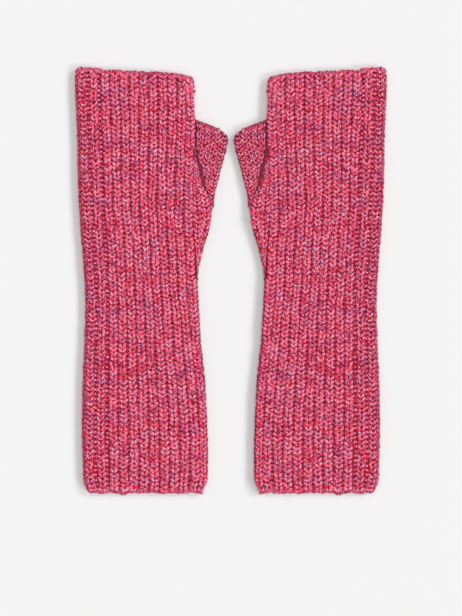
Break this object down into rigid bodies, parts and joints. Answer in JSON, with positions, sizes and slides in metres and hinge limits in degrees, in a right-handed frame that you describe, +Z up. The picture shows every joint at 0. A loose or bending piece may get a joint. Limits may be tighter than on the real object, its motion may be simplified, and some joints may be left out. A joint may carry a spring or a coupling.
{
  "type": "pair of fingerless mitts",
  "caption": "Long rib-knit fingerless mitts laid flat side by side, each a hand tube open at fingers and cuff with a short thumb tube on its inner edge.",
  "frame": {"origin": "on the surface the mitts lie on, in the middle of the pair", "axes": "+X across the pair to the right mitt, +Y from the cuffs to the fingers, +Z up from the surface"},
  "size_m": [0.2218, 0.2999, 0.0069],
  "materials": {
    "rib_knit": "chunky half-cardigan rib in pink, red and mauve marled wool, matt with a light halo",
    "back_knit": "the same marled wool rib, pressed flat where it rests",
    "thumb_knit": "the same marled wool in a finer, flatter rib"
  },
  "bodies": {
    "root": {"left_hand_front": "rib_knit", "left_hand_back": "back_knit", "left_thumb_front": "thumb_knit", "left_thumb_back": "thumb_knit", "right_hand_front": "rib_knit", "right_hand_back": "back_knit", "right_thumb_front": "thumb_knit", "right_thumb_back": "thumb_knit"}
  },
  "joints": []
}
